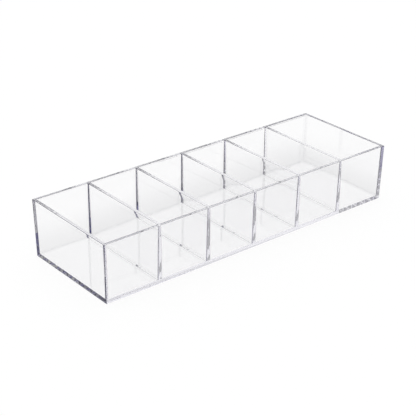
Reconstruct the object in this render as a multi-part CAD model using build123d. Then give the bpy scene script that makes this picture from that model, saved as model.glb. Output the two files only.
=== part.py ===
from build123d import *
from math import radians, tan
import os

# Open tray of clear acrylic with one row of compartments, made of ten bonded panels: a base, two long
# walls, two end walls and the dividers between the compartments. The walls lean, so that the tray
# narrows towards its base, and each divider is a wedge that is thickest at its foot.
# The tray is shaped as a whole and then parted along the bonds, so that every joint is a butt joint
# whose two faces match: walls and dividers stand on the base, and the end walls and dividers run
# between the inside faces of the long walls.
# Origin: middle of the underside. +X runs along the row of compartments, -Y is the front, +Z is up.

# Driving dimensions, in millimetres and degrees. Lengths across the tray are taken at the rim.
tray_length = 305.0
tray_depth = 102.0
tray_height = 52.0
base_thickness = 3.0
wall_thickness = 2.9
divider_thickness = 2.9
divider_pitch = 49.5
divider_count = 5
draft_angle = 1.0
# The sawn edges are flame polished, which rounds each bare arris a little
polish_radius = 0.35

# Derived sizes
end_wall_inner_x = tray_length / 2 - wall_thickness
long_wall_inner_y = tray_depth / 2 - wall_thickness
wall_height = tray_height - base_thickness
divider_centres = [(i - (divider_count - 1) / 2) * divider_pitch for i in range(divider_count)]


def drafted_block(centre_x, length, depth, height):
    """A block that hangs from the rim and narrows downwards by the draft angle on all four sides."""
    rim_plane = Plane((centre_x, 0, tray_height), z_dir=(0, 0, -1))
    return extrude(rim_plane * Rectangle(length, depth), amount=height, taper=draft_angle)


def outer_block():
    """The outside of the tray, with its corners and its underside perimeter polished."""
    block = drafted_block(0, tray_length, tray_depth, tray_height)
    rim_edges = block.edges().group_by(Axis.Z)[-1]
    return fillet(block.edges() - rim_edges, polish_radius)


def compartment_spans():
    """Left and right limits of each compartment at the rim."""
    half = divider_thickness / 2
    lefts = [-end_wall_inner_x] + [x + half for x in divider_centres]
    rights = [x - half for x in divider_centres] + [end_wall_inner_x]
    return list(zip(lefts, rights))


def upright_grid(upper_block):
    """All walls and dividers in one piece, with the rim polished inside and outside."""
    for left_x, right_x in compartment_spans():
        middle_x = (left_x + right_x) / 2
        upper_block -= drafted_block(middle_x, right_x - left_x, 2 * long_wall_inner_y, wall_height)
    rim_edges = upper_block.edges().group_by(Axis.Z)[-1]
    return fillet(rim_edges, polish_radius)


block = outer_block()
base_bond = Plane((0, 0, base_thickness))
base_panel = block.split(base_bond, keep=Keep.BOTTOM)
grid = upright_grid(block.split(base_bond, keep=Keep.TOP))
space_between_long_walls = drafted_block(0, 2 * tray_length, 2 * long_wall_inner_y, wall_height)
front_wall, back_wall = (grid - space_between_long_walls).solids().sort_by(Axis.Y)
left_end_wall, *dividers, right_end_wall = (grid & space_between_long_walls).solids().sort_by(Axis.X)

panels = {
    "base_panel": base_panel,
    "front_wall": front_wall,
    "back_wall": back_wall,
    "left_end_wall": left_end_wall,
    "right_end_wall": right_end_wall,
}
for number, divider in enumerate(dividers, start=1):
    panels[f"divider_{number}"] = divider

os.makedirs("parts", exist_ok=True)
for name, panel in panels.items():
    export_step(panel, f"parts/{name}.step")
    print(f"{name}: {panel.volume / 1000:.2f} cm3")
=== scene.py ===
from math import cos, pi, radians, sin, tan

import bmesh
import bpy
from mathutils import Matrix, Vector


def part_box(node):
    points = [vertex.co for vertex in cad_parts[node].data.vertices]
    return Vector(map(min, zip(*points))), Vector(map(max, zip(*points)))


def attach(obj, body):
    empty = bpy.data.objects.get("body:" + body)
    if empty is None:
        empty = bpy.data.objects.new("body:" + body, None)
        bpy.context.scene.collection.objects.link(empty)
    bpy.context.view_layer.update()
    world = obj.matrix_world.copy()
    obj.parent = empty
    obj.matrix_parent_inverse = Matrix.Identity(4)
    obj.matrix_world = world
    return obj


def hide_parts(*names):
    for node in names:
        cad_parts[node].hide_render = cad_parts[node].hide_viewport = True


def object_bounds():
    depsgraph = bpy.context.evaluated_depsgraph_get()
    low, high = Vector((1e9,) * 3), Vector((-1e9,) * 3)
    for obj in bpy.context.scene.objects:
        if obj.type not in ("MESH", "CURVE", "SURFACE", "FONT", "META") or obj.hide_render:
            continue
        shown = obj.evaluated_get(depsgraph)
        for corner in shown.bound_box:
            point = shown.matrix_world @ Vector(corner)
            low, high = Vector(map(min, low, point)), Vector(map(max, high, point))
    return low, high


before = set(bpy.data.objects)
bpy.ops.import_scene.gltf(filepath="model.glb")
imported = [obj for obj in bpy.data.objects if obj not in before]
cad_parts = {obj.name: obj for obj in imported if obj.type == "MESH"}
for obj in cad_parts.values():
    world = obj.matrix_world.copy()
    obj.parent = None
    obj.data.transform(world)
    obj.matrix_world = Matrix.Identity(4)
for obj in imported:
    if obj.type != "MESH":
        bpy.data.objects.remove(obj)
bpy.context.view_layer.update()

MM = 0.001

# Sizes that the frame doesn't give, in metres and degrees
wall_thickness = 2.9 * MM
draft_angle = 1.0
# The cement leaves a hair-thin fillet at the foot of each inside face and in the two back corners, and a
# wider one beside the back end of each divider, where it ran together
foot_radius = 0.08 * MM
end_corner_radius = 0.1 * MM
corner_radius = 0.9 * MM
# The front ends of the dividers and the end walls are rounded, which leaves a slit along each front joint
slit_radius = 0.8 * MM
polish_radius = 0.35 * MM
# A flame-polished rim swells: each inside face bulges by this much over this height
swell = 0.1 * MM
swell_height = 5.0 * MM
# The bonds lie this far in front of the inside faces, and this gap keeps bonded faces from coinciding
bond_offset = 0.06 * MM
bond_gap = 0.005 * MM
# Steps along each rounded corner or edge, and the distances that count as none in building and in cutting
corner_steps = 8
weld_distance = 1e-8
cut_tolerance = 1e-9

# Clear acrylic: what each face lets through, and the colour that its depth takes on
refractive_index = 1.49
face_colour = (0.98, 0.98, 0.983, 1)
depth_colour = (0.50, 0.46, 0.66, 1)
depth_density = 2.0

# Light levels of the studio, where 1 is white
softbox_light = 1.5
sweep_light = 1.0
back_left_light = 0.5
back_right_light = 1.0
front_light = 0.3
# Where one of these lights passes into the next, as limits of X, Y or Z of the direction of view
left_to_right_x = (-0.3, 0.3)
front_to_back_y = (-0.15, 0.15)
sweep_top_z = (0.16, 0.26)
softbox_edge_z = (0.6, 0.8)
# Reflections after which half of the red, green and blue light is lost, over how many it fades, and what
# is left at last
fade_middle = (28.0, 27.9, 28.4)
fade_width = 18.0
deep_light = (0.02, 0.01, 0.17)
most_reflections = 96

# The floor reaches to the horizon. It lies a little below the underside, so that they don't coincide.
floor_reach = 40.0
floor_drop = 0.2 * MM
# How much of the floor's look is its lit surface, which holds the shadow
shadow_share = 0.07
# A look that meets fewer faces than the first number sees the even floor. One that meets more than the
# second, caught in a panel for a while, sees the lit floor.
see_through_depths = (13.5, 15.5)
# Close around the tray, the floor seen through it is darker by this share. The shade fades over the first
# distance outwards, and over the second one inwards.
ground_shade = 0.12
ground_reach = 60.0 * MM
ground_edge = 5.0 * MM

# Sizes from the frame
half_length, half_depth, rim_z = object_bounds()[1]
floor_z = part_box("base_panel")[1][2]
lean = tan(radians(draft_angle))
inner_y = half_depth - wall_thickness
divider_names = sorted(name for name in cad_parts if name.startswith("divider_"))
divider_centres = [(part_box(name)[0][0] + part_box(name)[1][0]) / 2 for name in divider_names]
half_divider = wall_thickness / 2
divider_pitch = divider_centres[1] - divider_centres[0]
# From here outwards there are no more dividers, only an end wall
end_zone_x = divider_centres[-1] + divider_pitch / 2
bond_z = floor_z + bond_offset
bond_y = inner_y - bond_offset


def ring(mesh, centre_x, half_x, half_y, radii, z, slits=False):
    """A level rectangle of vertices with rounded corners, anticlockwise from above. The radii are those of
    the corners on the left and on the right. With slits, the two corners at the front aren't rounded: each
    runs out into the slit beside a rounded panel end."""
    verts = []
    for quarter, (side_x, side_y) in enumerate(((1, 1), (-1, 1), (-1, -1), (1, -1))):
        for step in range(corner_steps + 1):
            turn = step / corner_steps
            angle = pi / 2 * (1 - turn if quarter % 2 else turn)
            if slits and side_y < 0:
                x = half_x + slit_radius * (1 - cos(angle))
                y = half_y - slit_radius * (1 - sin(angle))
            else:
                radius = radii[side_x > 0]
                x = half_x - radius * (1 - cos(angle))
                y = half_y - radius * (1 - sin(angle))
            verts.append(mesh.verts.new((centre_x + side_x * x, side_y * y, z)))
    return verts


def skin(mesh, rings):
    """Faces between each ring and the next."""
    for low, high in zip(rings, rings[1:]):
        for i, vert in enumerate(low):
            j = (i + 1) % len(low)
            mesh.faces.new((vert, low[j], high[j], high[i]))


def quarter_turn():
    """Angles from 0 to 90 degrees for a rounded edge."""
    return [pi / 2 * step / corner_steps for step in range(corner_steps + 1)]


def outside_rings(mesh):
    """The outside of the tray, from its underside to its rim."""
    radius = polish_radius
    rings = []
    for angle in quarter_turn():
        z = radius * (1 - cos(angle))
        inset = lean * (rim_z - z) + radius * (1 - sin(angle))
        radii = [radius * sin(angle)] * 2
        rings.append(ring(mesh, 0, half_length - inset, half_depth - inset, radii, z))
    for angle in quarter_turn():
        z = rim_z - radius * (1 - sin(angle))
        inset = lean * (rim_z - z) + radius * (1 - cos(angle))
        rings.append(ring(mesh, 0, half_length - inset, half_depth - inset, [radius] * 2, z))
    return rings


def swell_at(z):
    """How far an inside face bulges into the compartment at height z."""
    height = z - (rim_z - swell_height)
    return swell * (height / swell_height) ** 2 if height > 0 else 0.0


def pocket_rings(mesh, left_x, right_x):
    """The inside of one compartment, from its floor to the rim."""
    centre_x = (left_x + right_x) / 2
    half_x = (right_x - left_x) / 2
    radii = [end_corner_radius if abs(x) > end_zone_x else corner_radius for x in (left_x, right_x)]
    levels = []
    for angle in quarter_turn():
        z = floor_z + foot_radius * (1 - cos(angle))
        levels.append((z, -foot_radius * (1 - sin(angle))))
    for step in range(corner_steps):
        z = rim_z - swell_height + (swell_height - polish_radius) * step / corner_steps
        levels.append((z, 0.0))
    for angle in quarter_turn():
        z = rim_z - polish_radius * (1 - sin(angle))
        levels.append((z, polish_radius * (1 - cos(angle))))
    rings = []
    for z, flare in levels:
        inset = lean * (rim_z - z) + swell_at(z) - flare
        flared = [radius + flare for radius in radii]
        rings.append(ring(mesh, centre_x, half_x - inset, inner_y - inset, flared, z, slits=True))
    return rings


def whole_tray():
    """The closed surface of the tray, before it is parted into panels."""
    mesh = bmesh.new()
    mesh.faces.layers.float.new("bond")
    lefts = [wall_thickness - half_length] + [x + half_divider for x in divider_centres]
    rights = [x - half_divider for x in divider_centres] + [half_length - wall_thickness]
    shells = [outside_rings(mesh)] + [pocket_rings(mesh, *span) for span in zip(lefts, rights)]
    for rings in shells:
        skin(mesh, rings)
        mesh.faces.new(rings[0])
    rim_loops = [
        mesh.edges.get((rings[-1][i - 1], rings[-1][i])) for rings in shells for i in range(len(rings[-1]))
    ]
    bmesh.ops.triangle_fill(mesh, edges=rim_loops, use_beauty=True, normal=(0, 0, 1))
    bmesh.ops.remove_doubles(mesh, verts=mesh.verts, dist=weld_distance)
    bmesh.ops.recalc_face_normals(mesh, faces=mesh.faces)
    return mesh


def parted(whole, *cuts):
    """A closed copy of what lies behind every cut. Each cut is a point, an outward normal, and whether the
    faces that close it are bonded."""
    part = whole.copy()
    bond = part.faces.layers.float["bond"]
    for point, normal, bonded in cuts:
        normal = Vector(normal).normalized()
        cut = bmesh.ops.bisect_plane(
            part,
            geom=part.verts[:] + part.edges[:] + part.faces[:],
            dist=cut_tolerance,
            plane_co=Vector(point) - normal * bond_gap / 2,
            plane_no=normal,
            clear_outer=True,
        )
        edges = [item for item in cut["geom_cut"] if isinstance(item, bmesh.types.BMEdge)]
        if edges:
            filled = bmesh.ops.triangle_fill(part, edges=edges, use_beauty=True, normal=normal)
            for item in filled["geom"]:
                if isinstance(item, bmesh.types.BMFace):
                    item[bond] = float(bonded)
    return part


def free_below_dividers(base):
    """The dividers are cemented at their ends only, so the base has no bond under them."""
    bond = base.faces.layers.float["bond"]
    joint_y = bond_y - lean * (rim_z - bond_z)
    for side in (-1, 1):
        top = [face for face in base.faces if face[bond] > 0.5]
        edges = {edge for face in top for edge in face.edges}
        verts = {vert for face in top for vert in face.verts}
        bmesh.ops.bisect_plane(
            base,
            geom=list(verts) + list(edges) + top,
            dist=cut_tolerance,
            plane_co=(0, side * joint_y, 0),
            plane_no=(0, side, 0),
        )
    for face in base.faces:
        middle = face.calc_center_median()
        if face[bond] > 0.5 and abs(middle.y) < joint_y and abs(middle.x) < end_zone_x:
            face[bond] = 0.0


def divider_row(divider, material):
    """The dividers, set out along the tray by Geometry Nodes from the one in the middle."""
    tree = bpy.data.node_groups.new("divider row", "GeometryNodeTree")
    sockets = {}
    for name, kind in (("Divider", "NodeSocketGeometry"), ("Pitch", "NodeSocketFloat"),
                       ("Count", "NodeSocketInt"), ("Material", "NodeSocketMaterial")):
        sockets[name] = tree.interface.new_socket(name, in_out="INPUT", socket_type=kind)
    tree.interface.new_socket("Row", in_out="OUTPUT", socket_type="NodeSocketGeometry")
    nodes, links = tree.nodes, tree.links
    given = nodes.new("NodeGroupInput")
    row = nodes.new("NodeGroupOutput")
    step = nodes.new("ShaderNodeCombineXYZ")
    first = nodes.new("ShaderNodeVectorMath")
    first.operation = "SCALE"
    line = nodes.new("GeometryNodeMeshLine")
    placed = nodes.new("GeometryNodeInstanceOnPoints")
    real = nodes.new("GeometryNodeRealizeInstances")
    finish = nodes.new("GeometryNodeSetMaterial")
    links.new(given.outputs["Pitch"], step.inputs["X"])
    links.new(step.outputs["Vector"], first.inputs["Vector"])
    steps_to_first = calculated(tree, "MULTIPLY_ADD", given.outputs["Count"], -0.5, 0.5)
    links.new(steps_to_first, first.inputs["Scale"])
    links.new(given.outputs["Count"], line.inputs["Count"])
    links.new(first.outputs["Vector"], line.inputs["Start Location"])
    links.new(step.outputs["Vector"], line.inputs["Offset"])
    links.new(line.outputs["Mesh"], placed.inputs["Points"])
    links.new(given.outputs["Divider"], placed.inputs["Instance"])
    links.new(placed.outputs["Instances"], real.inputs["Geometry"])
    links.new(real.outputs["Geometry"], finish.inputs["Geometry"])
    links.new(given.outputs["Material"], finish.inputs["Material"])
    links.new(finish.outputs["Geometry"], row.inputs["Row"])

    data = bpy.data.meshes.new("divider")
    divider.to_mesh(data)
    divider.free()
    source = bpy.data.objects.new("divider row", data)
    bpy.context.scene.collection.objects.link(source)
    modifier = source.modifiers.new("row", "NODES")
    modifier.node_group = tree
    modifier[sockets["Pitch"].identifier] = divider_pitch
    modifier[sockets["Count"].identifier] = len(divider_centres)
    modifier[sockets["Material"].identifier] = material
    evaluated = source.evaluated_get(bpy.context.evaluated_depsgraph_get())
    set_out = bpy.data.meshes.new_from_object(evaluated)
    bpy.data.objects.remove(source)
    mesh = bmesh.new()
    mesh.from_mesh(set_out)
    return mesh


def only_between(row, left_x, right_x):
    """A copy of the one divider of the row that stands between these limits."""
    part = row.copy()
    others = [vert for vert in part.verts if not left_x < vert.co.x < right_x]
    bmesh.ops.delete(part, geom=others, context="VERTS")
    return part


def finish_panel(name, part, material):
    """Turns the mesh into the piece that stands for the CAD node of that name."""
    bond = part.faces.layers.float["bond"]
    bmesh.ops.recalc_face_normals(part, faces=part.faces)
    for face in part.faces:
        face.smooth = True
    for edge in part.edges:
        edge.smooth = all(face[bond] < 0.5 for face in edge.link_faces)
    data = bpy.data.meshes.new(name + "_acrylic")
    part.to_mesh(data)
    part.free()
    piece = bpy.data.objects.new(name + "_acrylic", data)
    bpy.context.scene.collection.objects.link(piece)
    data.materials.append(material)
    shading = piece.modifiers.new("flat faces stay flat", "WEIGHTED_NORMAL")
    shading.weight = 100
    shading.keep_sharp = True
    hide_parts(name)
    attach(piece, "root")


def panels(material):
    """The base, the long walls, and the end walls and dividers between them."""
    whole = whole_tray()
    base = parted(whole, ((0, 0, bond_z), (0, 0, 1), True))
    free_below_dividers(base)
    finish_panel("base_panel", base, material)
    on_base = ((0, 0, bond_z), (0, 0, -1), True)
    for name, side in (("front_wall", -1), ("back_wall", 1)):
        inner_face = ((0, side * bond_y, rim_z), (0, -side, lean), True)
        finish_panel(name, parted(whole, on_base, inner_face), material)
    ends = [((0, side * bond_y, rim_z), (0, side, -lean), True) for side in (-1, 1)]
    for name, side in (("left_end_wall", -1), ("right_end_wall", 1)):
        beside = ((side * end_zone_x, 0, 0), (-side, 0, 0), False)
        finish_panel(name, parted(whole, on_base, *ends, beside), material)
    over_base = ((0, 0, bond_z), (0, 0, -1), False)
    beside = [((side * divider_pitch / 2, 0, 0), (side, 0, 0), False) for side in (-1, 1)]
    row = divider_row(parted(whole, over_base, *ends, *beside), material)
    for name, centre in zip(divider_names, divider_centres):
        part = only_between(row, centre - divider_pitch / 2, centre + divider_pitch / 2)
        finish_panel(name, part, material)
    row.free()
    whole.free()


def feed(tree, socket, value):
    """Gives a socket a number, or links it to the socket that the value comes from."""
    if isinstance(value, bpy.types.NodeSocket):
        tree.links.new(value, socket)
    else:
        socket.default_value = value


def calculated(tree, operation, *values):
    """The result of a calculation with numbers or sockets."""
    node = tree.nodes.new("ShaderNodeMath")
    node.operation = operation
    for socket, value in zip(node.inputs, values):
        feed(tree, socket, value)
    return node.outputs[0]


def ramp(tree, value, limits, low, high, interpolation="SMOOTHSTEP"):
    """Goes from low to high as the value goes from the first limit to the second."""
    node = tree.nodes.new("ShaderNodeMapRange")
    node.interpolation_type = interpolation
    feed(tree, node.inputs["Value"], value)
    feed(tree, node.inputs["From Min"], limits[0])
    feed(tree, node.inputs["From Max"], limits[1])
    feed(tree, node.inputs["To Min"], low)
    feed(tree, node.inputs["To Max"], high)
    return node.outputs["Result"]


def acrylic():
    """Clear acrylic, which darkens with the length of its light path. A bonded face meets the same
    acrylic, so that it bends no light."""
    material = bpy.data.materials.new("clear acrylic")
    material.use_nodes = True
    tree = material.node_tree
    surface = tree.nodes["Principled BSDF"]
    surface.inputs["Base Color"].default_value = face_colour
    surface.inputs["Roughness"].default_value = 0.0
    surface.inputs["Transmission Weight"].default_value = 1.0
    surface.inputs["IOR"].default_value = refractive_index
    bond = tree.nodes.new("ShaderNodeAttribute")
    bond.attribute_name = "bond"
    index = calculated(tree, "MULTIPLY_ADD", bond.outputs["Fac"], 1 - refractive_index, refractive_index)
    tree.links.new(index, surface.inputs["IOR"])
    absorption = tree.nodes.new("ShaderNodeVolumeAbsorption")
    absorption.inputs["Color"].default_value = depth_colour
    absorption.inputs["Density"].default_value = depth_density
    tree.links.new(absorption.outputs["Volume"], tree.nodes["Material Output"].inputs["Volume"])
    return material


def remaining_light(tree):
    """The colour of the light that is left after a path's reflections. Each reflection inside a real panel
    loses a little, so that a panel's edge, seen after dozens of them, is dark."""
    reflections = tree.nodes.new("ShaderNodeLightPath").outputs["Ray Depth"]
    left = tree.nodes.new("ShaderNodeCombineColor")
    for channel, middle, deep in zip(("Red", "Green", "Blue"), fade_middle, deep_light):
        limits = (middle - fade_width / 2, middle + fade_width / 2)
        tree.links.new(ramp(tree, reflections, limits, 1.0, deep), left.inputs[channel])
    return left.outputs["Color"]


def ground_strength(tree, through):
    """The brightness of the even floor: 1, but a little less close around the tray where it is seen through
    the tray. There, the photo shows the real ground and its shadow."""
    place = tree.nodes.new("ShaderNodeSeparateXYZ")
    tree.links.new(tree.nodes.new("ShaderNodeNewGeometry").outputs["Position"], place.inputs[0])
    past_end = calculated(tree, "SUBTRACT", calculated(tree, "ABSOLUTE", place.outputs["X"]), half_length)
    past_side = calculated(tree, "SUBTRACT", calculated(tree, "ABSOLUTE", place.outputs["Y"]), half_depth)
    away = calculated(tree, "MAXIMUM", past_end, past_side)
    inwards = ramp(tree, away, (-ground_edge, 0.0), 0.0, -ground_shade)
    outwards = ramp(tree, away, (0.0, ground_reach), -ground_shade, 0.0)
    shade = calculated(tree, "MAXIMUM", inwards, outwards)
    return calculated(tree, "MULTIPLY_ADD", through, shade, 1.0)


def pale_floor():
    """A plain white floor, large enough to reach the horizon. Seen directly or through the tray, most of it
    is even white. The rest, and all that a panel's edge shows after many reflections, is the floor as the
    studio lights it, with the tray's shadow."""
    data = bpy.data.meshes.new("floor")
    sides = ((-1, -1), (1, -1), (1, 1), (-1, 1))
    corners = [(x * floor_reach, y * floor_reach, -floor_drop) for x, y in sides]
    data.from_pydata(corners, [], [(0, 1, 2, 3)])
    floor = bpy.data.objects.new("floor", data)
    bpy.context.scene.collection.objects.link(floor)
    material = bpy.data.materials.new("pale floor")
    material.use_nodes = True
    tree = material.node_tree
    light = remaining_light(tree)
    path = tree.nodes.new("ShaderNodeLightPath").outputs
    lit = tree.nodes.new("ShaderNodeBsdfDiffuse")
    tree.links.new(light, lit.inputs["Color"])
    white = tree.nodes.new("ShaderNodeEmission")
    tree.links.new(light, white.inputs["Color"])
    tree.links.new(ground_strength(tree, path["Is Transmission Ray"]), white.inputs["Strength"])
    seen = calculated(tree, "MAXIMUM", path["Is Camera Ray"], path["Is Glossy Ray"])
    seen = calculated(tree, "MAXIMUM", seen, path["Is Transmission Ray"])
    even = ramp(tree, path["Ray Depth"], see_through_depths, 1 - shadow_share, 0.0, "LINEAR")
    mix = tree.nodes.new("ShaderNodeMixShader")
    tree.links.new(calculated(tree, "MULTIPLY", even, seen), mix.inputs["Fac"])
    tree.links.new(lit.outputs["BSDF"], mix.inputs[1])
    tree.links.new(white.outputs["Emission"], mix.inputs[2])
    tree.links.new(mix.outputs["Shader"], tree.nodes["Material Output"].inputs["Surface"])
    tree.nodes.remove(tree.nodes["Principled BSDF"])
    data.materials.append(material)


def studio_light():
    """Soft light all round: a wide softbox overhead, a white sweep up to knee height, a lit wall behind
    the tray and the dim side of the room in front of it."""
    world = bpy.data.worlds.new("studio")
    bpy.context.scene.world = world
    world.use_nodes = True
    tree = world.node_tree
    place = tree.nodes.new("ShaderNodeSeparateXYZ")
    tree.links.new(tree.nodes.new("ShaderNodeTexCoord").outputs["Generated"], place.inputs[0])
    axes = place.outputs
    back_wall = ramp(tree, axes["X"], left_to_right_x, back_left_light, back_right_light)
    room = ramp(tree, axes["Y"], front_to_back_y, front_light, back_wall)
    above_sweep = ramp(tree, axes["Z"], sweep_top_z, sweep_light, room)
    light = ramp(tree, axes["Z"], softbox_edge_z, above_sweep, softbox_light)
    tree.links.new(light, tree.nodes["Background"].inputs["Strength"])
    tree.links.new(remaining_light(tree), tree.nodes["Background"].inputs["Color"])


def camera():
    """The photograph's view, fitted to the tray's corners and edges."""
    azimuth, elevation, roll = radians(-39.618), radians(26.183), radians(0.4856)
    target = Vector((15.8 * MM, 31.3 * MM, 0))
    distance = 1048.7 * MM
    back = Vector((sin(azimuth) * cos(elevation), -cos(azimuth) * cos(elevation), sin(elevation)))
    level = Vector((cos(azimuth), sin(azimuth), 0))
    upright = back.cross(level)
    right = level * cos(roll) + upright * sin(roll)
    up = upright * cos(roll) - level * sin(roll)
    data = bpy.data.cameras.new("camera")
    data.sensor_width = 36
    data.lens = 101.07
    data.clip_start = 0.01
    data.clip_end = 50
    eye = bpy.data.objects.new("camera", data)
    bpy.context.scene.collection.objects.link(eye)
    eye.rotation_mode = "QUATERNION"
    eye.rotation_quaternion = Matrix((right, up, back)).transposed().to_quaternion()
    eye.location = target + back * distance
    bpy.context.scene.camera = eye


def light_paths():
    """Light is guided along the panels for dozens of reflections."""
    cycles = bpy.context.scene.cycles
    cycles.max_bounces = most_reflections
    cycles.transmission_bounces = most_reflections
    cycles.glossy_bounces = most_reflections


panels(acrylic())
pale_floor()
studio_light()
camera()
light_paths()
bpy.context.scene.view_settings.view_transform = "Standard"
